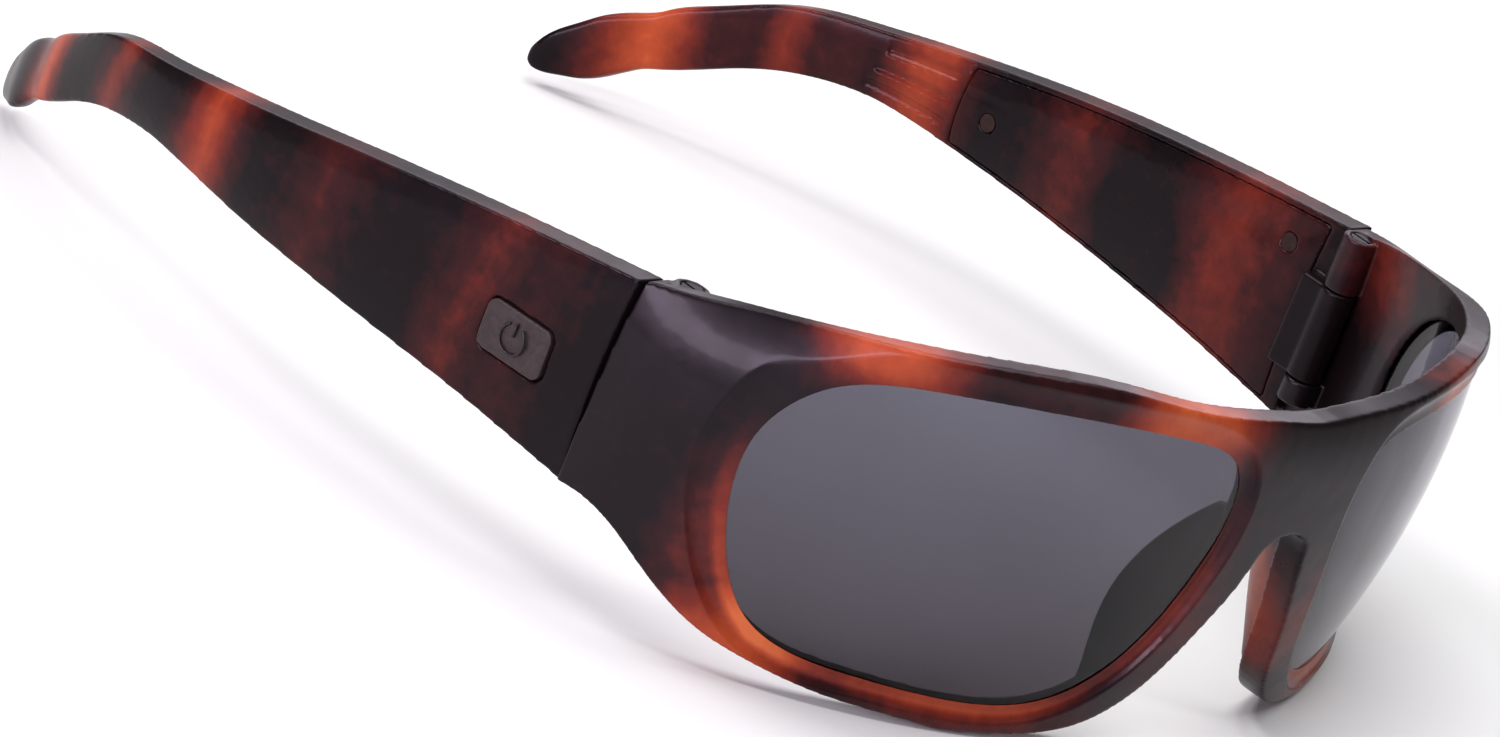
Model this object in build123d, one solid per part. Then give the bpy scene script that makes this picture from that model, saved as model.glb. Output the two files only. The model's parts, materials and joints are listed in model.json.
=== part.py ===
from build123d import *
import math
import os

# Wrap-around smart glasses: one moulded front with two tinted lenses, and two hollow temples
# that fold on three-knuckle hinges. Electronics sit in the temples behind screwed inner covers.
#
# Frame: +Z up, the front faces -Y, the temples run towards +Y, and the glasses are symmetric
# about the plane X = 0. They rest on the rims and on the temple tips. While the pieces are made,
# Y = 0 is the front edge of the brow above the nose and Z = 0 is the ground. The last step
# moves every piece so that the origin is the centre of the whole bounding box, on the ground.

# ---- driving dimensions, millimetres and degrees ----
BROW_HEIGHT = 44.7          # ground to the top edge above the nose
FRONT_TILT = 9.9            # backward lean of the front towards the cheeks
FRONT_ARC = 95.0            # length of half the front, measured round the brow
JOINT_Y = 50.0              # where the front ends and the temples start
JOINT_GAP = 0.15
TEMPLE_REACH = 116.2        # joint to the end of the tip, along Y
TIP_ROUNDING = 3.4
DOME = (0.264, -0.0043)     # outward swell of the front at v: DOME[0] * v + DOME[1] * v * v

LENS_HEADING = 27.0         # direction in which each lens is pushed in
LENS_THICK = 1.8
LENS_RECESS = 1.5           # front face of the rim to the front face of the lens
LENS_LIP = 0.9              # how far the lens reaches into its groove
LENS_PLAY = 0.05

PIVOT_X = 64.8
PIVOT_Y = 47.2
KNUCKLE_RADIUS = 2.3
KNUCKLE_GAP = 0.12
MID_KNUCKLE = (20.8, 33.3)  # lowest and highest Z of the temple's knuckle
LOW_KNUCKLE = 17.4          # lowest Z of the front's lower knuckle
SCREW_RADIUS = 0.75
SCREW_HEAD_RADIUS = 1.35
SCREW_HEAD_THICK = 0.8
RUNNING_FIT = 0.04

OUTER_WALL = 1.3
COVER_THICK = 1.2
COVER_PLAY = 0.06
COVER_SPAN = (2.8, 62.5)    # start and end of the inner cover behind the joint
CAVITY_SPAN = (5.0, 60.8)
LEDGE = 1.3                 # shelf round the cavity that the cover sits on
FASTENERS = ((7.6, 34.2), (57.6, 23.8))  # cover screws: distance behind the joint, height

PLUG_RADIUS = 1.2
SCREW_SHANK = 0.5
SCREW_LENGTH = 3.6          # cover screw, from the cover's inner face to its end

BOARD_DEPTH = 1.5           # inner face of the temple to the circuit board
BOARD_THICK = 0.6
CONTACT_PLACES = (28.0, 33.0)  # charging contacts behind the joint
CONTACT_Z = 25.5
CONTACT_RADIUS = 1.3

BUTTON_S = 11.9             # centre of the power button behind the joint
BUTTON_Z = 26.0
BUTTON_SIZE = (10.0, 6.4)
BUTTON_CORNER = 1.3
BUTTON_GAP = 0.2
BUTTON_PROUD = 0.3
BUTTON_TRAVEL = 0.35
BUTTON_FLANGE = 0.8

GRIP_START = 63.6           # first end of the grip grooves behind the joint
GRIP_DEPTH = 0.5
GRIP_HALF_WIDTH = 0.85
GRIP_GROOVES = ((0.21, 75.0), (0.51, 75.8), (0.8, 76.6))  # share of the height from the top, last end

SOUND_SLOT = (42.5, 55.0)   # opening in the underside of the temple
MIC_S = 18.0

# ---- shape tables: distance along the piece, value ----
PLAN_POINTS = [(0, 0), (19.0, 1.3), (37.1, 6.8), (49.1, 14.5), (59.2, 24.4), (66.7, 36.6), (71.0, JOINT_Y)]
BROW_ARCH = [(0, 0.0), (19, 1.3), (38, 3.3), (57, 2.0), (76, -0.9), (95, -4.4)]
FRONT_LOW = [(0, 50.6), (16, 50.2), (31, 49.4), (38, 48.7), (50, 47.1), (60, 44.3), (68, 41.0),
             (76, 35.8), (82, 31.0), (88, 28.0), (95, 27.0)]
FRONT_THICK = [(0, 4.3), (60, 4.0), (95, 4.7)]
DOME_FADE = [(0, 1.0), (60, 1.0), (95, 0.38)]

TEMPLE_X = [(0, 71.0), (20, 72.3), (40, 73.3), (58, 72.8), (78, 69.4), (98, 61.9), (108, 56.2), (118, 48.8)]
TEMPLE_TOP = [(0, 40.3), (20, 37.6), (40, 34.4), (58, 30.9), (78, 26.7), (88, 24.4), (98, 19.5), (108, 12.9),
              (118, 4.5)]
TEMPLE_LOW = [(0, 13.7), (10, 14.8), (20, 15.7), (40, 16.8), (58, 17.6), (70, 18.1), (78, 17.7), (88, 15.1),
              (98, 10.0), (108, 3.9), (118, -0.8)]
TEMPLE_THICK = [(0, 4.7), (60, 4.4), (90, 3.4), (118, 3.0)]
CROWN = [(0, 1.35), (60, 1.2), (118, 0.5)]      # outward swell of the temple's outer face
BELLY = [(0, 0.8), (20, 1.2), (60, 0.9), (118, 0.4)]  # inward swell of its inner face

# ---- outlines ----
# Lens opening on the lens plane: across from the centre, down from the brow's front edge.
OPENING = [(11.0, 10.0), (13.9, 3.5), (22.0, 0.7), (37.5, -0.5), (54.5, 1.0), (66.3, 5.6), (71.0, 13.0),
           (70.4, 27.2), (64.8, 36.0), (50.0, 39.1), (37.0, 39.7), (24.5, 37.8), (17.6, 31.6), (12.2, 18.8)]
# Half of the nose arch seen from the front: X, height below the brow's front edge.
NOSE_ARCH = [(0, 14.5), (3.2, 15.4), (5.2, 20.0), (8.3, 27.6), (13.0, 37.4), (17.8, 41.9), (23.0, 43.7),
             (29.0, 44.5), (36.0, 45.0), (42.0, 46.2)]
# Nose rest levels: Z, flank X, rim Y, reach backwards.
NOSE_REST = [(32.0, 4.6, 4.2, 2.0), (27.5, 5.2, 4.4, 4.6), (22.0, 6.6, 4.8, 6.2), (16.0, 9.2, 5.6, 5.6),
             (10.5, 12.2, 6.8, 3.2), (6.8, 14.4, 7.8, 1.4)]


def smooth(table, place):
    """Value of a table at a place, on a curve that passes smoothly through its entries."""
    places = [entry[0] for entry in table]
    values = [entry[1] for entry in table]
    last = len(table) - 1
    i = 0
    while i < last - 1 and place > places[i + 1]:
        i += 1
    step = places[i + 1] - places[i]
    slopes = []
    for k in (i, i + 1):
        low = max(k - 1, 0)
        high = min(k + 1, last)
        slopes.append((values[high] - values[low]) / (places[high] - places[low]))
    t = (place - places[i]) / step
    start = values[i] * (2 * t**3 - 3 * t**2 + 1) + slopes[0] * step * (t**3 - 2 * t**2 + t)
    end = values[i + 1] * (3 * t**2 - 2 * t**3) + slopes[1] * step * (t**3 - t**2)
    return start + end


def spread(first, last, count):
    """Evenly spaced places from first to last."""
    return [first + (last - first) * i / (count - 1) for i in range(count)]


def ring(points):
    """Closed wire of four edges through eight points: two arcs joined by two lines."""
    outer = Edge.make_three_point_arc(points[0], points[1], points[2])
    inner = Edge.make_three_point_arc(points[3], points[4], points[5])
    return Wire([outer, Edge.make_line(points[2], points[3]), inner, Edge.make_line(points[5], points[0])])


def upright_cylinder(radius, low, high, x=PIVOT_X, y=PIVOT_Y):
    """Cylinder about a vertical axis."""
    return Pos(x, y, (low + high) / 2) * Cylinder(radius, high - low)


def block(x_range, y_range, z_range):
    """Box between pairs of coordinates."""
    centre = [(low + high) / 2 for low, high in (x_range, y_range, z_range)]
    size = [high - low for low, high in (x_range, y_range, z_range)]
    return Pos(*centre) * Box(*size)


# ---- the front ----
PLAN = Spline(*PLAN_POINTS, tangents=[(1, 0), (0.12, 1)])
PLAN_SCALE = PLAN.length / FRONT_ARC
TILT = Vector(0, math.sin(math.radians(FRONT_TILT)), -math.cos(math.radians(FRONT_TILT)))


def front_point(u, v, depth):
    """Point of the front at arc distance u from the middle, v down from the brow, below the outer face."""
    along = abs(u) * PLAN_SCALE
    foot = PLAN.position_at(along, position_mode=PositionMode.LENGTH)
    tangent = PLAN.tangent_at(along, position_mode=PositionMode.LENGTH)
    side = -1 if u < 0 else 1
    outward = Vector(side * tangent.Y, -tangent.X, 0)
    swell = (DOME[0] * v + DOME[1] * v * v) * smooth(DOME_FADE, abs(u))
    top = Vector(side * foot.X, foot.Y, BROW_HEIGHT + smooth(BROW_ARCH, abs(u)))
    return top + outward * (swell - depth) + TILT * v


def front_ring(u, top, low, front, back):
    """Section across the front between two depths below its outer face."""
    middle = (top + low) / 2
    faces = [(top, front), (middle, front), (low, front), (low, back), (middle, back), (top, back)]
    return ring([front_point(u, v, depth) for v, depth in faces])


def front_shell():
    """The wrapped wall of the front, before any opening is cut."""
    sections = []
    for u in spread(-FRONT_ARC, FRONT_ARC, 35):
        low = smooth(FRONT_LOW, abs(u))
        sections.append(front_ring(u, 0, low, 0, smooth(FRONT_THICK, abs(u))))
    return Solid.make_loft(sections)


def lens_sheet(front, back):
    """A layer under the outer face, larger than one lens."""
    return Solid.make_loft([front_ring(u, 0.8, 47.5, front, back) for u in spread(7, 84, 12)])


def grown(points, margin):
    """Closed outline with each point moved outwards by a margin."""
    moved = []
    for i, (x, y) in enumerate(points):
        before = points[i - 1]
        after = points[(i + 1) % len(points)]
        run = (after[0] - before[0], after[1] - before[1])
        scale = margin / math.hypot(*run)
        moved.append((x + run[1] * scale, y - run[0] * scale))
    return moved


def lens_prism(margin):
    """Straight-sided plug of the lens opening, grown by a margin."""
    heading = math.radians(LENS_HEADING)
    across = Vector(math.cos(heading), math.sin(heading), 0)
    plane = Plane(origin=(0, 0, BROW_HEIGHT), x_dir=across, z_dir=across.cross(TILT))
    outline = make_face(Spline(*grown(OPENING, margin), periodic=True))
    return extrude(plane * outline, amount=25, both=True)


def nose_arch():
    """Cutter for the space under the bridge, seen from the front."""
    right = [(x, BROW_HEIGHT - down) for x, down in NOSE_ARCH]
    left = [(-x, z) for x, z in reversed(right[1:])]
    edges = [Spline(*(left + right)), Polyline(right[-1], (right[-1][0], -9), (left[0][0], -9), left[0])]
    return extrude(Plane.XZ * make_face(edges), amount=40, both=True)


def nose_rest():
    """Moulded nose rest that flares back from the inner side of the rim."""
    sections = []
    for z, flank, rim, reach in NOSE_REST:
        root = Vector(flank + 0.4, rim - 1.1, z)
        heel = Vector(flank + 3.9, rim - 1.1, z)
        tip = Vector(flank + 2.6 + 0.72 * reach, rim + 0.95 * reach, z)
        toe = tip + Vector(-1.5, 0.7, 0)
        inner = Vector((root.X + toe.X) / 2 - 0.35, (root.Y + toe.Y) / 2 + 0.5, z)
        outer = Vector((heel.X + tip.X) / 2 - 0.3, (heel.Y + tip.Y) / 2 + 0.3, z)
        sections.append(ring([root, inner, toe, tip, outer, heel]))
    return Solid.make_loft(sections)


def front_knuckles():
    """Upper and lower hinge knuckles with the webs that join them to the end piece."""
    top = BROW_HEIGHT + smooth(BROW_ARCH, FRONT_ARC - 3) - 0.1
    knuckles = []
    for low, high in ((MID_KNUCKLE[1] + KNUCKLE_GAP, top), (LOW_KNUCKLE, MID_KNUCKLE[0] - KNUCKLE_GAP)):
        barrel = upright_cylinder(KNUCKLE_RADIUS, low, high)
        web = block((PIVOT_X, PIVOT_X + 3.6), (PIVOT_Y - 2.2, PIVOT_Y + 1.7), (low, high))
        knuckles.append(barrel + web)
    return knuckles, top


def hinge_recess():
    """Room in the end piece for the temple's knuckle and its web."""
    low = MID_KNUCKLE[0] - KNUCKLE_GAP
    high = MID_KNUCKLE[1] + KNUCKLE_GAP
    barrel = upright_cylinder(KNUCKLE_RADIUS + 0.3, low, high)
    web = block((PIVOT_X - 5, PIVOT_X + 2.6), (PIVOT_Y, JOINT_Y + 1), (low, high))
    return barrel + web


def make_front():
    """The whole front: wrapped wall, lens grooves, nose arch and rests, hinge knuckles."""
    groove = lens_sheet(LENS_RECESS - LENS_PLAY, LENS_RECESS + LENS_THICK + LENS_PLAY) & lens_prism(LENS_LIP + LENS_PLAY)
    knuckles, top = front_knuckles()
    hole = upright_cylinder(SCREW_RADIUS, LOW_KNUCKLE - 1, top + 1)
    clearance = upright_cylinder(SCREW_RADIUS + RUNNING_FIT, MID_KNUCKLE[1], top + 1)
    seat = upright_cylinder(SCREW_HEAD_RADIUS + 0.1, top - SCREW_HEAD_THICK, top + 1)
    opening = lens_prism(0)
    adds = [nose_rest()] + knuckles
    cuts = [groove, hinge_recess(), hole, clearance, seat]
    behind_joint = block((-90, 90), (JOINT_Y, JOINT_Y + 20), (0, 60))
    front = front_shell() - behind_joint - nose_arch() - opening - mirrored(opening)
    for piece in adds + mirrored(adds):
        front = front + piece
    for piece in cuts + mirrored(cuts):
        front = front - piece
    return front


def make_lens():
    """One tinted lens with the curve of the front."""
    return lens_sheet(LENS_RECESS, LENS_RECESS + LENS_THICK) & lens_prism(LENS_LIP)


def make_hinge_screw():
    """Screw through the three knuckles, with a slotted head let into the top of the end piece."""
    top = BROW_HEIGHT + smooth(BROW_ARCH, FRONT_ARC - 3) - 0.1
    shaft = upright_cylinder(SCREW_RADIUS, LOW_KNUCKLE + 0.4, top - SCREW_HEAD_THICK)
    head = upright_cylinder(SCREW_HEAD_RADIUS, top - SCREW_HEAD_THICK, top - 0.1)
    slot = Pos(PIVOT_X, PIVOT_Y, top - 0.1) * Box(0.45, 3, 0.8)
    return shaft + (head - slot)


# ---- the temples, made on the +X side ----
def temple_ring(s, inner, outer, top, low, outer_from_inside=False):
    """Section across the temple: inner and outer are depths below its inner and outer faces."""
    y = JOINT_Y + JOINT_GAP + s
    shrink = 1.0
    past = s - (TEMPLE_REACH - TIP_ROUNDING)
    if past > 0:
        shrink = math.sqrt(max(1 - (past / TIP_ROUNDING) ** 2, 0.12))
    thick = smooth(TEMPLE_THICK, s) * shrink
    x_out = smooth(TEMPLE_X, s) - (smooth(TEMPLE_THICK, s) - thick) / 2
    x_in = x_out - thick
    z_high = smooth(TEMPLE_TOP, s)
    z_down = smooth(TEMPLE_LOW, s)
    pinch = (z_high - z_down) * (1 - shrink) / 2
    z_high = z_high - pinch - top
    z_down = z_down + pinch + low
    z_mid = (z_high + z_down) / 2
    belly = smooth(BELLY, s) * shrink
    crown = smooth(CROWN, s) * shrink
    far = x_in + outer if outer_from_inside else x_out - outer
    far_swell = -belly if outer_from_inside else crown
    outer_points = [(far, z_high), (far + far_swell, z_mid), (far, z_down)]
    near = x_in + inner
    inner_points = [(near, z_down), (near - belly, z_mid), (near, z_high)]
    return ring([Vector(x, y, z) for x, z in outer_points + inner_points])


def temple_slab(span, inner, outer, top, low, outer_from_inside=False, count=9):
    """Solid that follows the temple between two distances behind the joint."""
    rings = [temple_ring(s, inner, outer, top, low, outer_from_inside) for s in spread(*span, count)]
    return Solid.make_loft(rings)


def temple_body():
    """The outer form of a temple, with a rounded end."""
    places = spread(0, TEMPLE_REACH - TIP_ROUNDING, 19)
    places += [TEMPLE_REACH - TIP_ROUNDING * gap for gap in (0.65, 0.35, 0.12, 0.0)]
    return Solid.make_loft([temple_ring(s, 0, 0, 0, 0) for s in places])


def height_share(s, z):
    """0 at mid height of the temple and 1 at its upper and lower edges, squared like the faces' swell."""
    middle = (smooth(TEMPLE_TOP, s) + smooth(TEMPLE_LOW, s)) / 2
    half = (smooth(TEMPLE_TOP, s) - smooth(TEMPLE_LOW, s)) / 2
    return ((z - middle) / half) ** 2


def inner_x(s, z):
    """X of the temple's inner face."""
    return smooth(TEMPLE_X, s) - smooth(TEMPLE_THICK, s) - smooth(BELLY, s) * (1 - height_share(s, z))


def outer_x(s, z):
    """X of the temple's outer face."""
    return smooth(TEMPLE_X, s) + smooth(CROWN, s) * (1 - height_share(s, z))


def across(s, z, radius, x_from, x_to):
    """Cylinder along X through the temple at a distance behind the joint and a height."""
    y = JOINT_Y + JOINT_GAP + s
    return Pos((x_from + x_to) / 2, y, z) * Rot(0, 90, 0) * Cylinder(radius, x_to - x_from)


def mid_knuckle():
    """The temple's hinge knuckle and the web that carries it."""
    barrel = upright_cylinder(KNUCKLE_RADIUS, *MID_KNUCKLE)
    web = block((PIVOT_X - 1.7, PIVOT_X + 2.1), (PIVOT_Y, JOINT_Y + 2.3), MID_KNUCKLE)
    bore = upright_cylinder(SCREW_RADIUS + RUNNING_FIT, MID_KNUCKLE[0] - 1, MID_KNUCKLE[1] + 1)
    return barrel + web, bore


def grip_grooves():
    """Shallow rounded grooves along the inner face behind the cover."""
    grooves = []
    for share, end in GRIP_GROOVES:
        rings = []
        for s in spread(GRIP_START, end, 5):
            z = smooth(TEMPLE_TOP, s) * (1 - share) + smooth(TEMPLE_LOW, s) * share
            bed = inner_x(s, z) + GRIP_DEPTH
            profile = [(-0.55, 1), (0, 0), (-0.55, -1), (-2.0, -1), (-2.4, 0), (-2.0, 1)]
            corners = [(bed + dx, z + side * GRIP_HALF_WIDTH) for dx, side in profile]
            rings.append(ring([Vector(x, JOINT_Y + JOINT_GAP + s, height) for x, height in corners]))
        grooves.append(Solid.make_loft(rings))
    return grooves


def make_shell(with_button):
    """Temple shell: outer wall, tip, grip grooves, hinge knuckle, screw bosses and openings."""
    shell = temple_body()
    cover_room = (COVER_SPAN[0] - COVER_PLAY, COVER_SPAN[1] + COVER_PLAY)
    shell = shell - temple_slab(cover_room, -2.0, COVER_THICK + COVER_PLAY, 0.8, 0.6, True)
    shell = shell - temple_slab(CAVITY_SPAN, -2.0, OUTER_WALL, LEDGE + 0.8, LEDGE + 0.6)
    for s, z in FASTENERS:
        shell = shell + across(s, z, 1.7, inner_x(s, z) + COVER_THICK + 0.3, outer_x(s, z) - 0.8)
        shell = shell - across(s, z, SCREW_SHANK, inner_x(s, z), inner_x(s, z) + SCREW_LENGTH)
    for groove in grip_grooves():
        shell = shell - groove
    knuckle, bore = mid_knuckle()
    shell = (shell + knuckle) - bore
    shell = shell - sound_slot(0.0) - across_up(MIC_S, 0.5)
    if with_button:
        shell = shell - button_prism(BUTTON_GAP)
    return shell


def sound_slot(inset):
    """Plug of the slot in the underside that lets the sound out."""
    middle = (SOUND_SLOT[0] + SOUND_SLOT[1]) / 2
    length = SOUND_SLOT[1] - SOUND_SLOT[0] - 2 * inset
    x = smooth(TEMPLE_X, middle) - smooth(TEMPLE_THICK, middle) / 2 + 0.3
    z = smooth(TEMPLE_LOW, middle) + 0.4
    return Pos(x, JOINT_Y + JOINT_GAP + middle, z) * Box(1.8 - 2 * inset, length, 5.0)


def across_up(s, radius):
    """Upright hole through the underside of the temple."""
    x = smooth(TEMPLE_X, s) - smooth(TEMPLE_THICK, s) / 2
    low = smooth(TEMPLE_LOW, s)
    return upright_cylinder(radius, low - 1, low + 2.6, x, JOINT_Y + JOINT_GAP + s)


def button_prism(margin):
    """Rounded rectangle through the outer wall at the button."""
    width = BUTTON_SIZE[0] + 2 * margin
    height = BUTTON_SIZE[1] + 2 * margin
    outline = RectangleRounded(width, height, BUTTON_CORNER + margin)
    plane = Plane(origin=(smooth(TEMPLE_X, BUTTON_S) - 1.0, JOINT_Y + JOINT_GAP + BUTTON_S, BUTTON_Z),
                  x_dir=(0, 1, 0), z_dir=(1, 0, 0))
    return extrude(plane * outline, amount=6)


def make_button():
    """Power button: a cap that follows the outer face, with a flange behind the wall."""
    span = (BUTTON_S - 8, BUTTON_S + 8)
    cap = temple_slab(span, 0, -BUTTON_PROUD, 0, 0) & button_prism(0)
    cap = cap - temple_slab(span, 0, OUTER_WALL + BUTTON_FLANGE + 0.1, 0, 0)
    flange_span = (BUTTON_S - BUTTON_SIZE[0] / 2 - 0.7, BUTTON_S + BUTTON_SIZE[0] / 2 + 0.7)
    flange = temple_layer(flange_span, OUTER_WALL + 0.1, BUTTON_FLANGE, BUTTON_Z, BUTTON_SIZE[1] / 2 + 0.7)
    return cap + flange


def temple_layer(span, depth, thick, z, half_height, count=5):
    """Layer of even thickness that follows the outer wall, centred on a height."""
    rings = []
    for s in spread(*span, count):
        points = []
        for layer, order in ((depth, (1, 0, -1)), (depth + thick, (-1, 0, 1))):
            for k in order:
                height = z + k * half_height
                points.append(Vector(outer_x(s, height) - layer, JOINT_Y + JOINT_GAP + s, height))
        rings.append(ring(points))
    return Solid.make_loft(rings)


def make_switch():
    """Tactile switch behind the button, with its plunger."""
    y = JOINT_Y + JOINT_GAP + BUTTON_S
    board = inner_x(BUTTON_S, BUTTON_Z) + BOARD_DEPTH + BOARD_THICK
    tip = outer_x(BUTTON_S, BUTTON_Z) - OUTER_WALL - BUTTON_FLANGE - BUTTON_TRAVEL - 0.3
    can = block((board + 0.4, tip - 0.3), (y - 1.7, y + 1.7), (BUTTON_Z - 1.5, BUTTON_Z + 1.5))
    return can + across(BUTTON_S, BUTTON_Z, 0.8, tip - 0.35, tip)


def make_cover():
    """Inner cover of a temple, with countersunk holes for its screws and plugs."""
    cover = temple_slab(COVER_SPAN, 0, COVER_THICK, 0.8 + COVER_PLAY, 0.6 + COVER_PLAY, True)
    for s, z in FASTENERS:
        x = inner_x(s, z)
        cover = cover - across(s, z, PLUG_RADIUS + 0.05, x - 1, x + 0.9)
        cover = cover - across(s, z, SCREW_SHANK + 0.1, x - 1, x + 3)
    return cover


def make_cover_screws():
    """The two screws that hold a cover, as separate solids."""
    screws = []
    for s, z in FASTENERS:
        x = inner_x(s, z)
        head = across(s, z, PLUG_RADIUS - 0.05, x + 0.55, x + 0.9)
        screws.append(head + across(s, z, SCREW_SHANK, x + 0.8, x + SCREW_LENGTH - 0.1))
    return screws


def make_cover_plugs():
    """The two round plugs over the cover screws."""
    return [across(s, z, PLUG_RADIUS, inner_x(s, z) + 0.05, inner_x(s, z) + 0.5) for s, z in FASTENERS]


def make_board():
    """Circuit board along the inner cover, with a row of chips on its outer side."""
    board = temple_slab((5.6, 24.2), BOARD_DEPTH, BOARD_DEPTH + BOARD_THICK, 8.0, 3.2, True)
    for k in range(2):
        s = 18.6 + 3.6 * k
        x = inner_x(s, 22.0) + BOARD_DEPTH + BOARD_THICK
        y = JOINT_Y + JOINT_GAP + s
        board = board + block((x - 0.2, x + 0.8), (y - 1.3, y + 1.3), (20.6, 24.0))
    return board


def make_battery():
    """Slim cell that follows the outer wall in the middle of the cavity."""
    return temple_slab((25.0, 40.6), COVER_THICK + 0.6, OUTER_WALL + 0.1, LEDGE + 1.4, LEDGE + 2.2)


def make_speaker():
    """Speaker box above the sound slot."""
    s_range = (41.6, 55.2)
    middle = (s_range[0] + s_range[1]) / 2
    x = smooth(TEMPLE_X, middle) + smooth(CROWN, middle) - OUTER_WALL - 1.0
    y_range = (JOINT_Y + s_range[0], JOINT_Y + s_range[1])
    box = block((x - 2.5, x), y_range, (20.4, 27.6))
    return box + across(middle, 24.1, 2.8, x - 2.9, x - 2.4)


def make_speaker_mesh():
    """Fine grille that closes the sound slot."""
    grille = sound_slot(0.05)
    z = smooth(TEMPLE_LOW, (SOUND_SLOT[0] + SOUND_SLOT[1]) / 2)
    grille = grille & block((60, 80), (JOINT_Y, JOINT_Y + 70), (z + 0.5, z + 0.9))
    middle = grille.center()
    for k in range(-5, 6):
        grille = grille - Pos(middle.X, middle.Y + 1.1 * k, middle.Z) * Cylinder(0.3, 2)
    return grille


def make_microphone():
    """Microphone capsule above its hole in the underside."""
    low = smooth(TEMPLE_LOW, MIC_S)
    x = smooth(TEMPLE_X, MIC_S) - smooth(TEMPLE_THICK, MIC_S) / 2
    y = JOINT_Y + JOINT_GAP + MIC_S
    return block((x - 1.2, x + 1.2), (y - 1.7, y + 1.7), (low + 2.5, low + 3.1))


def make_contacts():
    """Two charging contacts let into the inner cover."""
    contacts = []
    for s in CONTACT_PLACES:
        x = inner_x(s, CONTACT_Z)
        contacts.append(across(s, CONTACT_Z, CONTACT_RADIUS, x, x + COVER_THICK + 0.1))
    return contacts


def contact_holes():
    """Holes in the cover for the charging contacts."""
    return [across(s, CONTACT_Z, CONTACT_RADIUS + COVER_PLAY, 60, 72) for s in CONTACT_PLACES]


# ---- assembly ----
def both_sides(pieces, name, solid):
    """Keep a +X piece as NAME_left and its mirror image as NAME_right."""
    pieces[name + "_left"] = solid
    pieces[name + "_right"] = mirrored(solid)


def mirrored(solid):
    """Mirror image of a solid or of each solid of a group."""
    if isinstance(solid, list):
        return [mirror(piece, about=Plane.YZ) for piece in solid]
    return mirror(solid, about=Plane.YZ)


def make_pieces():
    """Every piece by its name. A wearer's left is +X."""
    pieces = {"front_frame": make_front()}
    both_sides(pieces, "lens", make_lens())
    both_sides(pieces, "hinge_screw", make_hinge_screw())
    pieces["temple_shell_left"] = make_shell(False)
    pieces["temple_shell_right"] = mirrored(make_shell(True))
    cover = make_cover()
    pieces["temple_cover_left"] = cover
    for hole in contact_holes():
        cover = cover - hole
    pieces["temple_cover_right"] = mirrored(cover)
    both_sides(pieces, "cover_screws", make_cover_screws())
    both_sides(pieces, "cover_plugs", make_cover_plugs())
    both_sides(pieces, "circuit_board", make_board())
    both_sides(pieces, "battery", make_battery())
    both_sides(pieces, "speaker", make_speaker())
    both_sides(pieces, "speaker_mesh", make_speaker_mesh())
    both_sides(pieces, "microphone", make_microphone())
    pieces["power_button"] = mirrored(make_button())
    pieces["button_switch"] = mirrored(make_switch())
    pieces["charge_contacts"] = mirrored(make_contacts())
    return pieces


def solids_of(piece):
    """The separate solids of a piece."""
    if isinstance(piece, list):
        return [solid for part in piece for solid in part.solids()]
    return piece.solids()


def extent(pieces):
    """Lowest and highest Y and lowest Z of the fine mesh of the outer pieces."""
    corners = []
    for name in ("front_frame", "temple_shell_left"):
        for solid in solids_of(pieces[name]):
            corners += solid.tessellate(0.02)[0]
    return min(p.Y for p in corners), max(p.Y for p in corners), min(p.Z for p in corners)


def export_pieces(pieces):
    """Move every piece onto the common origin and write it."""
    os.makedirs("parts", exist_ok=True)
    front_y, back_y, ground = extent(pieces)
    shift = Pos(0, -(front_y + back_y) / 2, -ground)
    print("shift", shift.position, "length", back_y - front_y)
    for name, piece in pieces.items():
        moved = [shift * solid for solid in solids_of(piece)]
        group = moved[0] if len(moved) == 1 else Compound(moved)
        group.label = name
        export_step(group, "parts/" + name + ".step")


export_pieces(make_pieces())
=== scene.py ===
import json
import math

import bpy
import numpy as np
from mathutils import Matrix, Vector

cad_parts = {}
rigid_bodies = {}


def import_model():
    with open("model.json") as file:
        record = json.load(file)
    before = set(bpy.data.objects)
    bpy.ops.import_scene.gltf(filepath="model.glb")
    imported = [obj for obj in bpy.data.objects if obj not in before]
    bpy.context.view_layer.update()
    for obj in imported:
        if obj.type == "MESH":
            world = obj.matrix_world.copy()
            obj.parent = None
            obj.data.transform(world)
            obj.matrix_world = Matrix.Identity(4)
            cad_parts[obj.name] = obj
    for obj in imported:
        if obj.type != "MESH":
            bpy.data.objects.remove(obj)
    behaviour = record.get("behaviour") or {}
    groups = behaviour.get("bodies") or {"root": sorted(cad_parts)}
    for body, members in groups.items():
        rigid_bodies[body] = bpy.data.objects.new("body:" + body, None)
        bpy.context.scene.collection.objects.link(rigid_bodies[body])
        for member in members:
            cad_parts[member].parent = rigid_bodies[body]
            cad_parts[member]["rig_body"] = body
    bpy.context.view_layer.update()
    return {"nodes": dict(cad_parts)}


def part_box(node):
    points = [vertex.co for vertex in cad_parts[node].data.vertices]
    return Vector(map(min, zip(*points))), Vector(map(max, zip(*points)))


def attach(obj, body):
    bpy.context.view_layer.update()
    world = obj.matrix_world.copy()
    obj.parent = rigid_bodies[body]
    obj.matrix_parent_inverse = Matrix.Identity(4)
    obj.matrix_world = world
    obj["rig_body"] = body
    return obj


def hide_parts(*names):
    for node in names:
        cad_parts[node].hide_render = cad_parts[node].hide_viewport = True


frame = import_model()
MM = 0.001
SIDES = {"left": 1, "right": -1}
JOINT_Y = -32.948           # mm, where the front ends and the temples start

# ---- camera: a long lens, above and to the front right of the wearer; millimetres and radians ----
TARGET = (0, JOINT_Y, 40.019)
CAMERA_HEADING = math.radians(-55.08)
CAMERA_HEIGHT = math.radians(20.51)
CAMERA_ROLL = math.radians(-21.88)
CAMERA_DISTANCE = 1286.95
CAMERA_OFFSET = (-32.48, -13.28)
FOCAL_LENGTH = 257.5
SENSOR_WIDTH = 36

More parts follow.
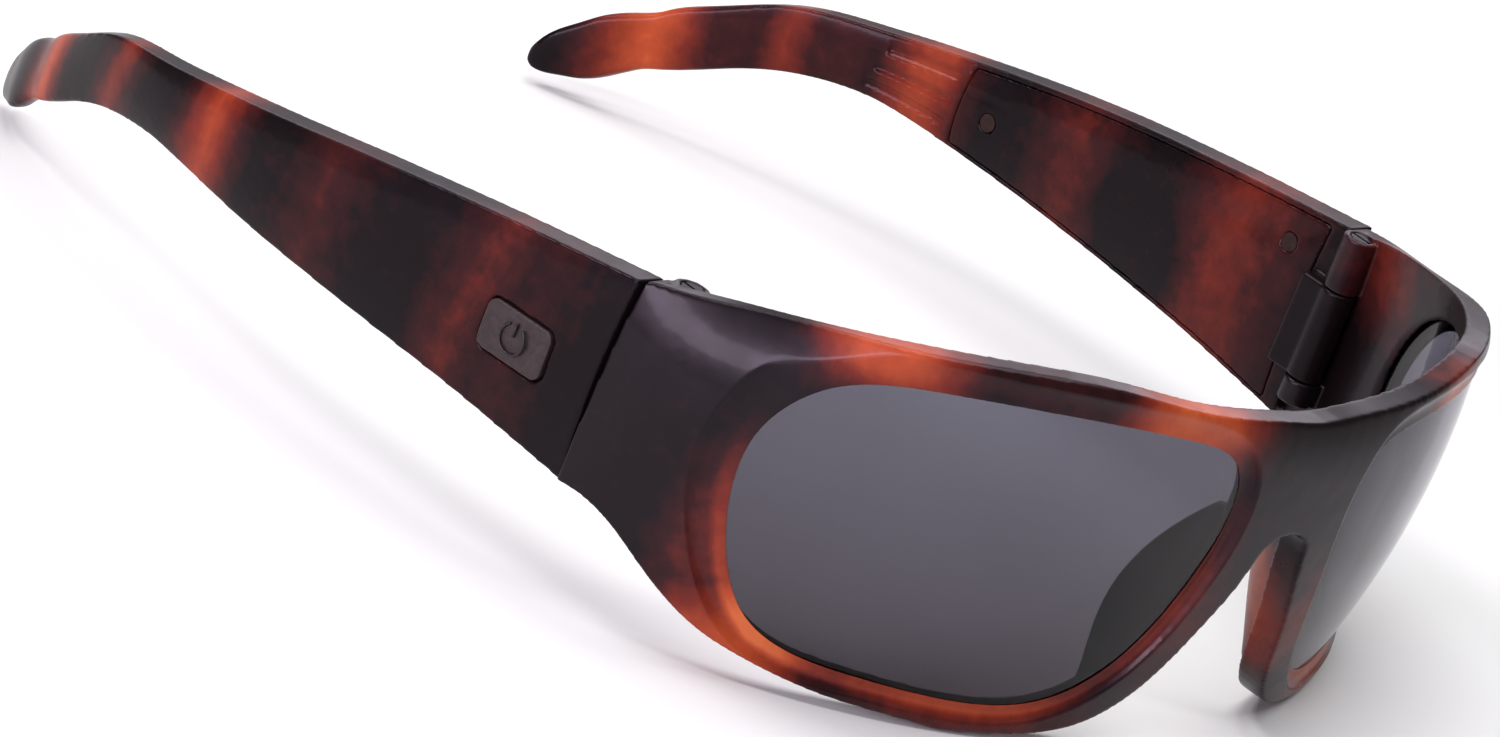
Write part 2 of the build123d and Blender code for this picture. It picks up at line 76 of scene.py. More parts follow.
# Lights: name, place, size, power, colour; all aimed at the middle of the glasses, in metres
LIGHT_AIM = (0, -0.02, 0.02)
LIGHTS = [
    ("top", (0.15, 0.2, 1.2), (1.0, 1.0), 12.5, (1, 1, 1)),
    ("strip", (-0.25, -0.30, 0.9), (1.1, 0.14), 4, (1, 1, 1)),
    ("back", (0.9, 0.65, 0.42), (1.2, 0.35), 3.0, (0.97, 0.90, 1.0)),
    ("edge", (-0.42, 0.62, 0.92), (0.35, 0.25), 4.5, (1.0, 0.93, 0.97)),
    ("low_side", (-1.15, -0.08, 0.36), (1.2, 0.24), 14.0, (0.96, 0.86, 1.0)),
]
SKY_STRENGTH = 0.14
FLOOR_HALF = 6.0            # metres
FLOOR_DROP = 0.0002         # a hair below the glasses


def add_camera():
    a, e, r = CAMERA_HEADING, CAMERA_HEIGHT, CAMERA_ROLL
    back = Vector((math.sin(a) * math.cos(e), -math.cos(a) * math.cos(e), math.sin(e)))
    level = Vector((math.cos(a), math.sin(a), 0))
    upright = back.cross(level)
    right = math.cos(r) * level - math.sin(r) * upright
    up = math.sin(r) * level + math.cos(r) * upright
    place = Vector(TARGET) + CAMERA_DISTANCE * back + CAMERA_OFFSET[0] * right + CAMERA_OFFSET[1] * up
    data = bpy.data.cameras.new("camera")
    data.sensor_width = SENSOR_WIDTH
    data.lens = FOCAL_LENGTH
    data.clip_start = 0.01
    camera = bpy.data.objects.new("camera", data)
    turn = Matrix((right, up, back)).transposed().to_4x4()
    camera.matrix_world = Matrix.Translation(place * MM) @ turn
    bpy.context.scene.collection.objects.link(camera)
    bpy.context.scene.camera = camera


def add_light(name, place, size, power, colour):
    data = bpy.data.lights.new(name, "AREA")
    data.shape = "RECTANGLE"
    data.size, data.size_y = size
    data.energy = power
    data.color = colour
    lamp = bpy.data.objects.new(name, data)
    lamp.location = place
    lamp.rotation_euler = (Vector(LIGHT_AIM) - Vector(place)).to_track_quat("-Z", "Y").to_euler()
    bpy.context.scene.collection.objects.link(lamp)


def add_world():
    world = bpy.data.worlds.new("studio")
    world.use_nodes = True
    background = world.node_tree.nodes["Background"]
    background.inputs["Color"].default_value = (1.0, 1.0, 1.0, 1)
    background.inputs["Strength"].default_value = SKY_STRENGTH
    bpy.context.scene.world = world
    bpy.context.scene.view_settings.view_transform = "Standard"


# ---- node helpers ----
class Nodes:
    """Short ways to add and join shader nodes."""

    def __init__(self, name):
        self.material = bpy.data.materials.new(name)
        self.material.use_nodes = True
        self.tree = self.material.node_tree
        self.shader = self.tree.nodes["Principled BSDF"]

    def add(self, kind, **settings):
        node = self.tree.nodes.new(kind)
        for key, value in settings.items():
            setattr(node, key, value)
        return node

    def join(self, source, target):
        self.tree.links.new(source, target)

    def put(self, value, target):
        if isinstance(value, bpy.types.NodeSocket):
            self.join(value, target)
        else:
            target.default_value = value

    def math(self, operation, a, b=0.0, clamp=False):
        node = self.add("ShaderNodeMath", operation=operation, use_clamp=clamp)
        self.put(a, node.inputs[0])
        self.put(b, node.inputs[1])
        return node.outputs[0]

    def vector(self, operation, a, b=(0, 0, 0), scale=None):
        node = self.add("ShaderNodeVectorMath", operation=operation)
        self.put(a, node.inputs[0])
        self.put(b, node.inputs[1])
        if scale is not None:
            self.put(scale, node.inputs["Scale"])
        return node.outputs["Value" if operation == "LENGTH" else "Vector"]

    def place(self):
        """Object coordinates in millimetres."""
        coordinates = self.add("ShaderNodeTexCoord").outputs["Object"]
        return self.vector("SCALE", coordinates, scale=1 / MM)

    def split(self, vector):
        node = self.add("ShaderNodeSeparateXYZ")
        self.join(vector, node.inputs[0])
        return node.outputs

    def noise(self, vector, scale, detail=2.0, roughness=0.5):
        node = self.add("ShaderNodeTexNoise")
        self.join(vector, node.inputs["Vector"])
        node.inputs["Scale"].default_value = scale
        node.inputs["Detail"].default_value = detail
        node.inputs["Roughness"].default_value = roughness
        return node

    def spread(self, value, low, high, to_low=0.0, to_high=1.0, smooth=False):
        """Maps low..high to to_low..to_high and stays within them."""
        node = self.add("ShaderNodeMapRange", clamp=True)
        node.interpolation_type = "SMOOTHSTEP" if smooth else "LINEAR"
        self.put(value, node.inputs["Value"])
        for name, number in zip(("From Min", "From Max", "To Min", "To Max"), (low, high, to_low, to_high)):
            node.inputs[name].default_value = number
        return node.outputs["Result"]

    def ramp(self, value, stops):
        node = self.add("ShaderNodeValToRGB")
        elements = node.color_ramp.elements
        while len(elements) < len(stops):
            elements.new(0.5)
        for element, (place, colour) in zip(elements, stops):
            element.position = place
            element.color = (*colour, 1)
        self.put(value, node.inputs["Fac"])
        return node.outputs["Color"]

    def bump(self, height, strength, distance):
        node = self.add("ShaderNodeBump")
        node.inputs["Strength"].default_value = strength
        node.inputs["Distance"].default_value = distance
        self.join(height, node.inputs["Height"])
        self.join(node.outputs["Normal"], self.shader.inputs["Normal"])

    def set(self, **values):
        for name, value in values.items():
            self.put(value, self.shader.inputs[name.replace("_", " ")])
        return self.material


# ---- tortoiseshell: from dark to honey, by how much amber shows ----
DARK = (0.0046, 0.0026, 0.0030)
MAROON = (0.030, 0.0056, 0.0056)
RUSSET = (0.140, 0.0170, 0.0090)
AMBER = (0.360, 0.056, 0.017)
HONEY = (0.520, 0.118, 0.036)
SHELL_STOPS = [(0.03, DARK), (0.22, MAROON), (0.48, RUSSET), (0.8, AMBER), (1.0, HONEY)]

# Bands of a temple, in millimetres: distance behind the joint, half width, softness, strength
BANDS_RIGHT = [
    (20.5, 2.5, 8.0, 0.42), (12.0, 3.0, 9.0, 0.18), (45.5, 2.5, 9.0, 0.32), (65.0, 3.4, 6.0, 0.72),
    (84.0, 1.8, 5.0, 0.60), (100.5, 2.4, 4.5, 0.84),
]
BANDS_LEFT = [
    (14.5, 8.0, 9.0, 0.36), (43.5, 5.0, 9.0, 0.34), (69.0, 5.4, 4.5, 0.58), (88.0, 2.6, 6.0, 0.60),
    (104.5, 4.2, 5.5, 0.84), (90.0, 17.0, 8.0, 0.19),
]
SLANT_RIGHT = 0.12          # how far a band leans forward with each millimetre of height
SLANT_LEFT = 0.0
SLANT_HEIGHT = 26.0         # height at which a band is at its own distance
SHELL_ROUGHNESS = 0.31
COVER_ROUGHNESS = 0.24
BAND_LEVEL = 0.08           # specular level of the temples
FRONT_LEVEL = 0.17          # the same of the front, and of its nose rests
NOSE_LEVEL = 0.04
GRAIN_DEPTH = 0.00003       # metres

# Blotches, in millimetres: centre, radii, strength
FRONT_BLOTCHES = [
    # near side: brow above the lens, outer then inner
    ((-56.5, -59.0, 46.0), (10.5, 11.0, 7.5), 0.74),
    ((-22.0, -80.0, 45.0), (13.0, 10.0, 9.0), 0.84),
    ((-40.0, -72.0, 47.0), (14.0, 10.0, 5.0), 0.14),
    # near side: lower rim and the side of the lens
    ((-61.0, -55.0, 3.0), (10.0, 16.0, 10.0), 0.76),
    ((-66.0, -53.0, 18.0), (6.0, 8.0, 14.0), 0.34),
    ((-34.0, -74.0, 2.0), (24.0, 14.0, 6.0), 0.34),
    ((-13.0, -78.0, 24.0), (7.0, 9.0, 16.0), 0.34),
    # far side
    ((33.0, -77.5, 42.0), (10.0, 7.0, 7.0), 0.84),
    ((64.0, -54.0, 46.0), (8.0, 12.0, 6.0), 0.20),
    ((61.0, -50.0, 6.0), (10.0, 16.0, 9.0), 0.72),
    ((36.0, -74.0, 3.0), (16.0, 14.0, 5.0), 0.55),
    ((66.0, -44.0, 40.0), (8.0, 9.0, 9.0), 0.34),
    # sides of the nose
    ((11.0, -75.0, 18.0), (8.0, 10.0, 12.0), 0.62),
    ((-9.0, -74.0, 10.0), (8.0, 12.0, 8.0), 0.26),
]
NOSE_PADS = [((10.0, -73.0, 16.0), (9.0, 7.0, 19.0), 1.0), ((-10.0, -73.0, 16.0), (9.0, 7.0, 19.0), 1.0)]
COVER_SPOTS = [((68.0, -3.5, 22.0), (9.0, 7.5, 7.0), 0.5)]
BLOTCH_FADE = (1.45, 0.2)   # share of the radii at which a blotch starts and is full

# Painted glow: amber added to the rim next to each lens, stronger low down, standing in for light that comes
# through the thin edge and falls on the upward-facing bevel below the lens
PAINTED_GLOW = 0.40
PAINTED_GLOW_GAP = (2.3, 0.9)       # distance from the opening at which it starts and is full
PAINTED_GLOW_HEIGHT = (26.0, 2.0)   # height at which it starts and is full
PAINTED_GLOW_SLANT = 0.12

LENS_TINT_AND_PAINTED_REFLECTION = [(0.0, (0.052, 0.043, 0.052)), (1.0, (0.138, 0.133, 0.172))]  # lower edge, upper edge: grey tint, lighter at the top by a painted reflection
PAINTED_REFLECTION_HEIGHTS = (2.0, 46.0)
NOISE_SPAN = (0.3, 0.7)     # nearly all values of a noise lie in it
FLOOR_TINT = [(0.3, (0.72, 0.72, 0.72)), (0.7, (0.74, 0.74, 0.74))]


def shell_colour(n, amount, place):
    """Colour of the tortoiseshell from how much amber shows, with fine clouding."""
    cloud = n.noise(place, 0.35, 3.0, 0.6).outputs["Fac"]
    amount = n.math("ADD", amount, n.spread(cloud, *NOISE_SPAN, -0.06, 0.06))
    return n.ramp(amount, SHELL_STOPS)


def blotches(n, place, table):
    """The strongest of the soft ellipsoidal blotches of a table, at each place."""
    strongest = None
    for centre, radii, strength in table:
        offset = n.vector("DIVIDE", n.vector("SUBTRACT", place, centre), radii)
        blotch = n.spread(n.vector("LENGTH", offset), *BLOTCH_FADE, 0.0, strength, smooth=True)
        strongest = blotch if strongest is None else n.math("MAXIMUM", strongest, blotch)
    return strongest


def warped(n, place, reach, scale):
    """Coordinates pushed about by a slow noise, so that no edge is straight."""
    shift = n.vector("SUBTRACT", n.noise(place, scale, 2.0).outputs["Color"], (0.5, 0.5, 0.5))
    return n.vector("ADD", place, n.vector("SCALE", shift, scale=reach))


def finish_shell(n, colour, place, roughness, level):
    """Gloss of polished acetate with a trace of grain and wear."""
    grain = n.noise(place, 4.0, 2.0, 0.6).outputs["Fac"]
    wear = n.noise(place, 0.22, 3.0).outputs["Fac"]
    n.bump(grain, 0.10, GRAIN_DEPTH)
    return n.set(
        Base_Color=colour,
        Roughness=n.spread(wear, *NOISE_SPAN, roughness - 0.04, roughness + 0.05),
        Specular_IOR_Level=level,
        Specular_Tint=(0.96, 0.84, 1.0, 1),
        Coat_Weight=0.07,
        Coat_Roughness=0.09,
    )


def bands_material(name, bands, slant, roughness, spots=()):
    """Tortoiseshell of a temple: soft bands behind the joint, leaning with the height."""
    n = Nodes(name)
    place = n.place()
    bent = warped(n, place, 7.0, 0.035)
    split = n.split(bent)
    behind = n.math("SUBTRACT", split["Y"], JOINT_Y)
    behind = n.math("ADD", behind, n.math("MULTIPLY", n.math("SUBTRACT", split["Z"], SLANT_HEIGHT), slant))
    amount = None
    for middle, half, soft, strength in bands:
        gap = n.math("ABSOLUTE", n.math("SUBTRACT", behind, middle))
        band = n.spread(gap, half + soft, half - soft, 0.0, strength, smooth=True)
        amount = band if amount is None else n.math("MAXIMUM", amount, band)
    if spots:
        amount = n.math("SUBTRACT", amount, blotches(n, bent, spots), clamp=True)
    return finish_shell(n, shell_colour(n, amount, place), place, roughness, BAND_LEVEL)


def front_material():
    """Tortoiseshell of the front: blotches, and a painted glow round the lower half of each lens."""
    n = Nodes("front_tortoiseshell")
    place = n.place()
    amount = blotches(n, warped(n, place, 6.0, 0.08), FRONT_BLOTCHES)
    split = n.split(place)
    gap = n.add("ShaderNodeAttribute", attribute_name="lens_gap").outputs["Fac"]
    # painted glow: amber near each opening, more towards the bottom, in place of light through the edge and
    # on the lower bevel
    near = n.spread(gap, *PAINTED_GLOW_GAP, smooth=True)
    low = n.spread(n.math("ADD", split["Z"], n.math("MULTIPLY", split["X"], PAINTED_GLOW_SLANT)), *PAINTED_GLOW_HEIGHT)
    amount = n.math("ADD", amount, n.math("MULTIPLY", n.math("MULTIPLY", near, low), PAINTED_GLOW))
    level = n.spread(blotches(n, place, NOSE_PADS), 0.0, 1.0, FRONT_LEVEL, NOSE_LEVEL)
    return finish_shell(n, shell_colour(n, amount, place), place, SHELL_ROUGHNESS, level)


def lens_material():
    """Grey glass, darker towards the lower edge: its grey tint carries a painted reflection that lightens it
    towards the top.
    """
    n = Nodes("lens_grey")
    place = n.place()
    cloud = n.noise(place, 0.05, 1.0).outputs["Fac"]
    height = n.math("ADD", n.split(place)["Z"], n.spread(cloud, *NOISE_SPAN, -2.0, 2.0))
    tint_and_painted_reflection = n.ramp(n.spread(height, *PAINTED_REFLECTION_HEIGHTS), LENS_TINT_AND_PAINTED_REFLECTION)
    return n.set(Base_Color=tint_and_painted_reflection, Roughness=0.0, IOR=1.3, Transmission_Weight=1.0)


def plain_material(name, colour, roughness, metallic=0.0, scale=1.2, vary=0.35, grain=12.0, level=0.3):
    """A plastic or metal with gentle unevenness in its colour and gloss."""
    n = Nodes(name)
    place = n.place()
    cloud = n.noise(place, scale, 3.0, 0.6).outputs["Fac"]
    low = tuple(c * (1 - vary) for c in colour)
    high = tuple(min(c * (1 + vary), 1.0) for c in colour)
    n.bump(n.noise(place, grain, 2.0).outputs["Fac"], 0.2, GRAIN_DEPTH)
    return n.set(
        Base_Color=n.ramp(cloud, [(0.3, low), (0.7, high)]),
        Roughness=n.spread(cloud, *NOISE_SPAN, roughness - 0.06, roughness + 0.08),
        Metallic=metallic,
        Specular_IOR_Level=level,
    )


def dress(node, material):
    obj = frame["nodes"][node]
    obj.data.materials.clear()
    obj.data.materials.append(material)


def add_floor():
    mesh = bpy.data.meshes.new("floor")
    corners = [(x * FLOOR_HALF, y * FLOOR_HALF, -FLOOR_DROP) for x, y in ((-1, -1), (1, -1), (1, 1), (-1, 1))]
    mesh.from_pydata(corners, [], [(0, 1, 2, 3)])
    floor = bpy.data.objects.new("floor", mesh)
    bpy.context.scene.collection.objects.link(floor)
    n = Nodes("floor_paint")
    cloud = n.noise(n.place(), 0.02, 2.0).outputs["Fac"]
    mesh.materials.append(n.set(Base_Color=n.ramp(cloud, FLOOR_TINT), Roughness=0.9, Specular_IOR_Level=0.1))


# ---- meshes refined from the CAD solids ----
LENS_HEADING = 27.0         # direction in which each lens faces, in degrees
FRONT_TILT = 9.9            # backward lean of the front, in degrees
LENS_LIP = 0.9              # how far the lens reaches into its groove
LENS_RECESS = 1.5           # front face of the rim to the lens
SURFACE_SPAN = 40.0         # scale of the terms of the lens surface
FRONT_FACE_AHEAD = 0.4      # points this far ahead of the mean surface belong to the front face
BEVEL_DEPTH = 1.3           # how far the bevel goes down at the opening
BEVEL_WIDTH = 2.2           # width of the bevel next to the nose and below the lens
BEVEL_OUTER = 5.0           # its width towards the temple
BEVEL_UPPER = 3.0           # its width towards the brow
BEVEL_SOFT = 0.05           # rounding of the ridge where it starts
BEVEL_POWER = 3.2           # 1 is a straight slope, more is a cove
BEVEL_REACH = 3.0           # further than this in front of or behind the front face nothing moves
BRIDGE_HALF = 3.0           # nearer than this to the middle nothing moves
FAR_FROM_LENS = 9.0         # value of lens_gap where the bevel does not reach

BROW_ROLL = 1.1             # how far the top of the brow leans in
BROW_ROLL_HEIGHT = 8.0      # height over which it does
BROW_EDGE = 1.0             # the outer face is looked for from this far below the top
BROW_WALL = 5.5             # the roll fades out over this depth of the wall
SHOULDER_ROLL = 3.0         # the same above the outer end of each lens
SHOULDER_HEIGHT = 16.0
SHOULDER_REACH = 38.0       # length of the shoulder, along Y
SHOULDER_BEHIND = 4.0       # part of it that is behind the joint
CREST_DEGREE = 10           # degree of the polynomial that follows the top and the outer face

TIP_FROM = 92.0             # distance behind the joint where the rounding of the tip starts
TIP_STEP = 2.0              # length over which it grows by one step
TIP_STEPS = 8
TIP_ROUNDS = 90             # rounds of smoothing at the last step

FINE = (0.25, 8)            # voxel size in millimetres and rounds of smoothing: front and temples
COVER_FINE = (0.2, 4)
BUTTON_FINE = (0.12, 5)

ICON_SIZE = 1.9             # radius of the ring of the power sign
ICON_STROKE = 0.19          # radius of its bar
ICON_SUNK = 0.075           # how deep the middle of the bar lies in the face of the button
ICON_GAP = 32.0             # half of the opening of the ring, in degrees
ICON_STEPS = 40
ICON_SIDES = 10


def evaluate(obj):
    """Gives an object the mesh that its modifiers make, and takes them off."""
    bpy.context.view_layer.update()
    shape = bpy.data.meshes.new_from_object(obj.evaluated_get(bpy.context.evaluated_depsgraph_get()))
    obj.modifiers.clear()
    obj.data = shape


def refined(name, node, voxel, rounds):
    """Copy of a CAD node with its edges rounded: an even remesh, then smoothing."""
    source = frame["nodes"][node]
    mesh = source.data.copy()
    mesh.transform(Matrix.Scale(1 / MM, 4))
    obj = bpy.data.objects.new(name, mesh)
    bpy.context.scene.collection.objects.link(obj)
    remesh = obj.modifiers.new("even", "REMESH")
    remesh.mode = "VOXEL"
    remesh.voxel_size = voxel
    remesh.use_smooth_shade = True
    softer = obj.modifiers.new("soft", "SMOOTH")
    softer.factor = 0.5
    softer.iterations = rounds
    evaluate(obj)
    obj.data.materials.clear()
    obj.data.transform(Matrix.Scale(MM, 4))
    obj.data.polygons.foreach_set("use_smooth", [True] * len(obj.data.polygons))
    return obj


def soften_end(obj):
    """Rounds the end of a temple further, more and more towards its tip."""
    behind = corners_of(obj)[:, 1] - JOINT_Y
    steps = np.clip(np.ceil((behind - TIP_FROM) / TIP_STEP).astype(int), 0, TIP_STEPS)
    group = obj.vertex_groups.new(name="end")
    for step in range(1, TIP_STEPS + 1):
        group.add(np.flatnonzero(steps == step).tolist(), step / TIP_STEPS, "REPLACE")
    softer = obj.modifiers.new("soft_end", "SMOOTH")
    softer.vertex_group = "end"
    softer.factor = 0.5
    softer.iterations = TIP_ROUNDS
    evaluate(obj)
    obj.vertex_groups.clear()


def corners_of(obj):
    """The vertices of an object, in millimetres, one per row."""
    co = np.empty(len(obj.data.vertices) * 3, np.float32)
    obj.data.vertices.foreach_get("co", co)
    return co.reshape(-1, 3).astype(float) / MM


def move_corners(obj, points):
    obj.data.vertices.foreach_set("co", (points * MM).astype(np.float32).ravel())
    obj.data.update()


def outline_gap(points, outline):
    """Distance from each 2-D point to a closed outline, negative inside it."""
    ends = np.roll(outline, -1, axis=0)
    along = ends - outline
    nearest = np.full(len(points), 1e9)
    for start, step in zip(outline, along):
        t = np.clip((points - start) @ step / (step @ step), 0, 1)
        nearest = np.minimum(nearest, np.linalg.norm(points - start - t[:, None] * step, axis=1))
    inside = np.zeros(len(points), bool)
    for start, end in zip(outline, ends):
        crosses = (start[1] > points[:, 1]) != (end[1] > points[:, 1])
        with np.errstate(divide="ignore", invalid="ignore"):
            edge_x = start[0] + (points[:, 1] - start[1]) * (end[0] - start[0]) / (end[1] - start[1])
        inside ^= crosses & (points[:, 0] < edge_x)
    return np.where(inside, -nearest, nearest)


def hull_outline(points, count=120, apart=0.3):
    """The outer outline of a roughly convex cloud of 2-D points, by direction from its middle."""
    middle = (points.max(0) + points.min(0)) / 2
    rim = []
    for a in np.linspace(0, 2 * math.pi, count, endpoint=False):
        direction = np.array((math.cos(a), math.sin(a)))
        point = points[np.argmax((points - middle) @ direction)]
        if not rim or np.linalg.norm(point - rim[-1]) > apart:
            rim.append(point)
    return np.array(rim)


def surface_powers(a, b):
    """Terms of a smooth surface over the lens plane."""
    a, b = a / SURFACE_SPAN, b / SURFACE_SPAN
    return np.stack([a ** i * b ** j for i in range(5) for j in range(4 if i < 3 else 2)], axis=1)


def lens_face(lens):
    """Smooth surface through the front face of a lens: one weight for each term."""
    terms = surface_powers(lens[:, 0], lens[:, 1])
    between_faces = np.linalg.lstsq(terms, lens[:, 2], rcond=None)[0]
    front = lens[:, 2] < terms @ between_faces - FRONT_FACE_AHEAD
    return np.linalg.lstsq(terms[front], lens[front, 2], rcond=None)[0]


def lens_axes(side):
    """Directions across, down and into a lens, one per row."""
    heading = math.radians(LENS_HEADING)
    tilt = math.radians(FRONT_TILT)
    across = np.array((math.cos(heading), math.sin(heading), 0))
    lean = np.array((0, math.sin(tilt), -math.cos(tilt)))
    inward = np.cross(across, lean)
    inward /= np.linalg.norm(inward)
    down = lean - across * (lean @ across)
    down /= np.linalg.norm(down)
    return np.stack((across, down, inward)) * np.array((side, 1, 1))


def bevel_round_lens(points, lens_node, side):
    """Slopes the front face down to a lens; also gives how far each point is from the opening."""
    axes = lens_axes(side)
    lens = corners_of(lens_node) @ axes.T
    middle = (lens.max(0) + lens.min(0)) / 2
    lens = lens - middle
    flat = points @ axes.T - middle
    outline = hull_outline(lens[:, :2])
    gap = outline_gap(flat[:, :2], outline) + LENS_LIP
    depth = flat[:, 2] - (surface_powers(flat[:, 0], flat[:, 1]) @ lens_face(lens) - LENS_RECESS)
    sweep = flat[:, :2] / (outline.max(0) - outline.min(0)) * 2
    sweep /= np.linalg.norm(sweep, axis=1)[:, None] + 1e-6
    outer = np.clip(sweep[:, 0], 0, 1) ** 2
    upper = np.clip(-sweep[:, 1], 0, 1) ** 2
    width = BEVEL_WIDTH + (BEVEL_OUTER - BEVEL_WIDTH) * outer + (BEVEL_UPPER - BEVEL_WIDTH) * upper
    cove = 1 - np.clip(gap / width, 0, 2) ** BEVEL_POWER
    softened = BEVEL_SOFT * np.log1p(np.exp(np.clip(cove / BEVEL_SOFT, -30, 30)))
    shift = BEVEL_DEPTH * softened * np.clip(1 - depth / LENS_RECESS, 0, 1.2)
    away = (np.abs(depth) > BEVEL_REACH) | (side * points[:, 0] < BRIDGE_HALF)
    shift[away] = 0
    gap[away] = FAR_FROM_LENS
    return points + np.outer(shift, axes[2]), gap


def crest(angle, values, chosen):
    """Smooth curve over the largest of the chosen values in each degree of direction."""
    degree = np.clip(np.round(angle[chosen] + 90).astype(int), 0, 180)
    most = np.full(181, -1e9)
    np.maximum.at(most, degree, values[chosen])
    known = most > -1e8
    curve = np.polyfit(np.linspace(-1, 1, 181)[known], most[known], CREST_DEGREE)
    return np.polyval(curve, np.clip(angle / 90, -1, 1))


def roll_brow(points):
    """Leans the top of the outer face inwards: the soft roll of the brow and of the shoulders."""
    rel = points[:, :2] - np.array((0.0, JOINT_Y))
    radius = np.linalg.norm(rel, axis=1)
    angle = np.degrees(np.arctan2(rel[:, 0], -rel[:, 1]))
    front = np.abs(angle) < 90
    drop = crest(angle, points[:, 2], front) - points[:, 2]
    outer = crest(angle, radius, front & (drop > BROW_EDGE) & (drop < BROW_ROLL_HEIGHT))
    along = np.clip((SHOULDER_BEHIND - rel[:, 1]) / SHOULDER_REACH, 0, 1)
    lean = BROW_ROLL * np.clip(1 - drop / BROW_ROLL_HEIGHT, 0, 1.2) ** 2
    lean += SHOULDER_ROLL * np.sin(along * math.pi) ** 2 * np.clip(1 - drop / SHOULDER_HEIGHT, 0, 1.2) ** 2
    shift = lean * (1 - np.clip((outer - radius) / BROW_WALL, 0, 1)) * (front & (drop < SHOULDER_HEIGHT))
    moved = points.copy()
    moved[:, :2] -= rel / radius[:, None] * shift[:, None]
    return moved


def shape_front(obj):
    """Rolls the brow, bevels both lens openings and keeps the distance from them for the material."""
    points = roll_brow(corners_of(obj))
    nearest = np.full(len(points), FAR_FROM_LENS)
    for name, side in SIDES.items():
        points, gap = bevel_round_lens(points, frame["nodes"]["lens_" + name], side)
        nearest = np.minimum(nearest, gap)
    move_corners(obj, points)
    lens_gap = obj.data.attributes.new("lens_gap", "FLOAT", "POINT")
    lens_gap.data.foreach_set("value", nearest.astype(np.float32))


def stand_in(name, node, material, fineness, shape=None):
    """A refined mesh that takes the place of a CAD node."""
    obj = refined(name, node, *fineness)
    if shape:
        shape(obj)
    obj.data.materials.append(material)
    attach(obj, frame["nodes"][node]["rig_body"])
    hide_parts(node)


def tube(path, radius):
    """Round bar with flat ends along a path of points in a plane across X, in millimetres."""
    verts, faces = [], []
    for k, point in enumerate(path):
        ahead = (Vector(path[min(k + 1, len(path) - 1)]) - Vector(path[max(k - 1, 0)])).normalized()
        side = ahead.cross(Vector((1, 0, 0))).normalized()
        for j in range(ICON_SIDES):
            a = 2 * math.pi * j / ICON_SIDES
            verts.append(Vector(point) + radius * (math.cos(a) * side + math.sin(a) * side.cross(ahead)))
    for a in range(0, len(verts) - ICON_SIDES, ICON_SIDES):
        b = a + ICON_SIDES
        for j in range(ICON_SIDES):
            following = (j + 1) % ICON_SIDES
            faces.append((a + j, a + following, b + following, b + j))
    faces.append(tuple(reversed(range(ICON_SIDES))))
    faces.append(tuple(range(len(verts) - ICON_SIDES, len(verts))))
    return verts, faces


def add_power_icon():
    """Raised power sign on the button: an open ring and a bar, partly sunk into the face."""
    lo, hi = (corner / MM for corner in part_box("power_button"))
    middle = (lo + hi) / 2
    face = lo.x + ICON_SUNK
    ring = []
    for k in range(ICON_STEPS + 1):
        a = math.radians(ICON_GAP + (360 - 2 * ICON_GAP) * k / ICON_STEPS)
        ring.append((face, middle.y + ICON_SIZE * math.sin(a), middle.z + ICON_SIZE * math.cos(a)))
    bar = [(face, middle.y, middle.z + ICON_SIZE * height) for height in (0.15, 0.6, 1.05)]
    verts, faces = tube(ring, ICON_STROKE)
    more_verts, more_faces = tube(bar, ICON_STROKE)
    faces += [tuple(len(verts) + corner for corner in face_corners) for face_corners in more_faces]
    verts += more_verts
    mesh = bpy.data.meshes.new("power_icon")
    mesh.from_pydata([vert * MM for vert in verts], [], faces)
    mesh.polygons.foreach_set("use_smooth", [True] * len(mesh.polygons))
    icon = bpy.data.objects.new("power_icon", mesh)
    bpy.context.scene.collection.objects.link(icon)
    mesh.materials.append(plain_material("icon_brown", (0.012, 0.009, 0.0095), 0.35))
    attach(icon, "button")


# ---- the scene ----
add_camera()
add_world()
add_floor()
for light in LIGHTS:
    add_light(*light)

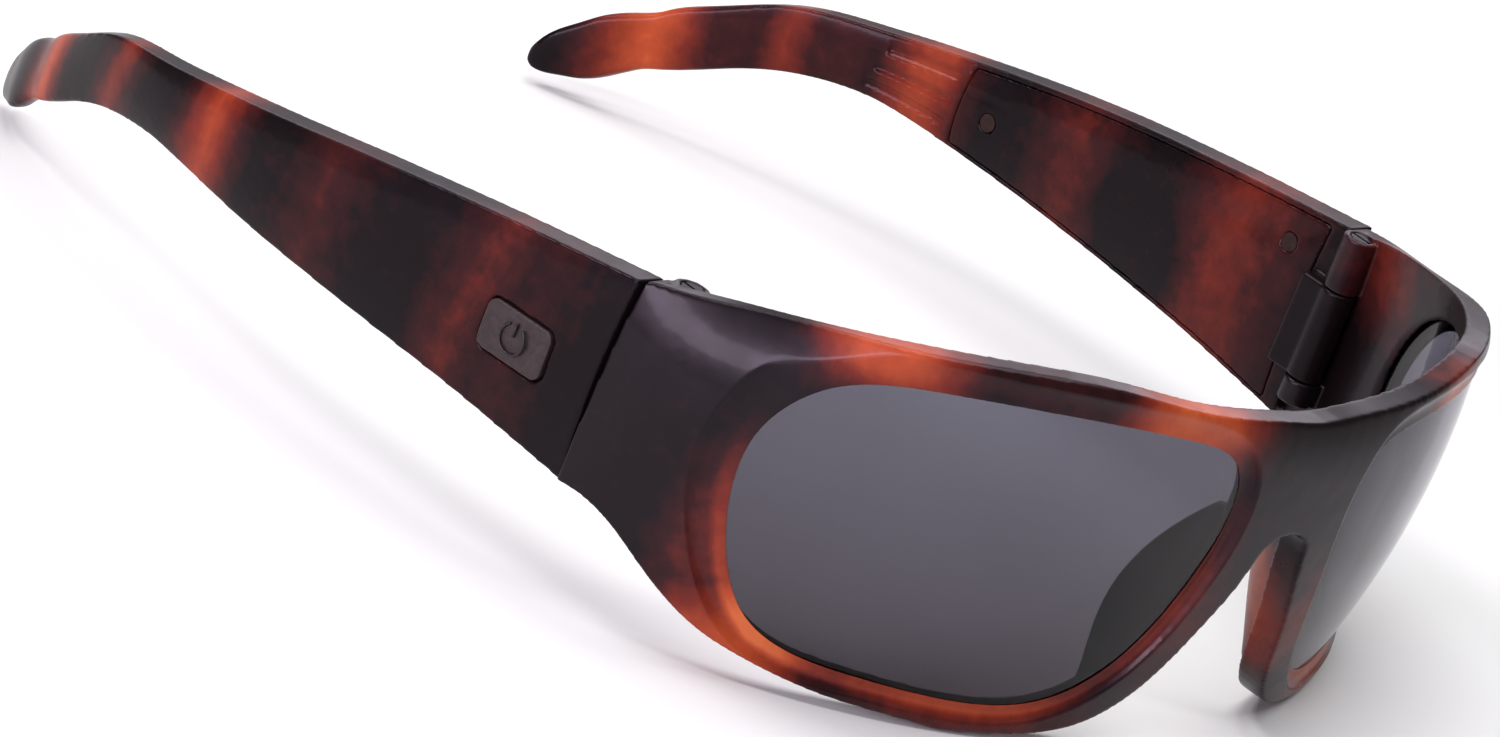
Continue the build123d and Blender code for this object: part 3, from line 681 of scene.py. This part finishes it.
RIGHT_SHELL = bands_material("right_tortoiseshell", BANDS_RIGHT, SLANT_RIGHT, SHELL_ROUGHNESS)
LEFT_SHELL = bands_material("left_tortoiseshell", BANDS_LEFT, SLANT_LEFT, SHELL_ROUGHNESS)
LEFT_COVER = bands_material("left_cover_tortoiseshell", BANDS_LEFT, SLANT_LEFT, COVER_ROUGHNESS, COVER_SPOTS)
RIGHT_COVER = bands_material("right_cover_tortoiseshell", BANDS_RIGHT, SLANT_RIGHT, COVER_ROUGHNESS)
BUTTON = plain_material("button_brown", (0.024, 0.0145, 0.0155), 0.42)

stand_in("front_rim", "front_frame", front_material(), FINE, shape_front)
stand_in("temple_arm_left", "temple_shell_left", LEFT_SHELL, FINE, soften_end)
stand_in("temple_arm_right", "temple_shell_right", RIGHT_SHELL, FINE, soften_end)
stand_in("inner_cover_left", "temple_cover_left", LEFT_COVER, COVER_FINE)
stand_in("inner_cover_right", "temple_cover_right", RIGHT_COVER, COVER_FINE)
stand_in("power_key", "power_button", BUTTON, BUTTON_FINE)
add_power_icon()

STEEL = plain_material("black_steel", (0.022, 0.018, 0.020), 0.42, 1.0, 3.0)
PLUG = plain_material("plug_plastic", (0.022, 0.010, 0.009), 0.50, level=0.10)
for side in SIDES:
    dress("lens_" + side, lens_material())
    dress("hinge_screw_" + side, STEEL)
    dress("cover_screws_" + side, STEEL)
    dress("cover_plugs_" + side, PLUG)
    dress("circuit_board_" + side, plain_material("board_" + side, (0.01, 0.10, 0.035), 0.4))
    dress("battery_" + side, plain_material("foil_" + side, (0.5, 0.5, 0.52), 0.3, 0.9))
    dress("speaker_" + side, plain_material("speaker_case_" + side, (0.02, 0.02, 0.022), 0.45))
    dress("speaker_mesh_" + side, plain_material("mesh_" + side, (0.05, 0.05, 0.055), 0.4, 1.0))
    dress("microphone_" + side, plain_material("can_" + side, (0.6, 0.58, 0.5), 0.3, 1.0))
dress("button_switch", plain_material("switch_case", (0.03, 0.03, 0.03), 0.5))
dress("charge_contacts", plain_material("contact_gold", (0.80, 0.55, 0.22), 0.25, 1.0, 3.0, 0.12))
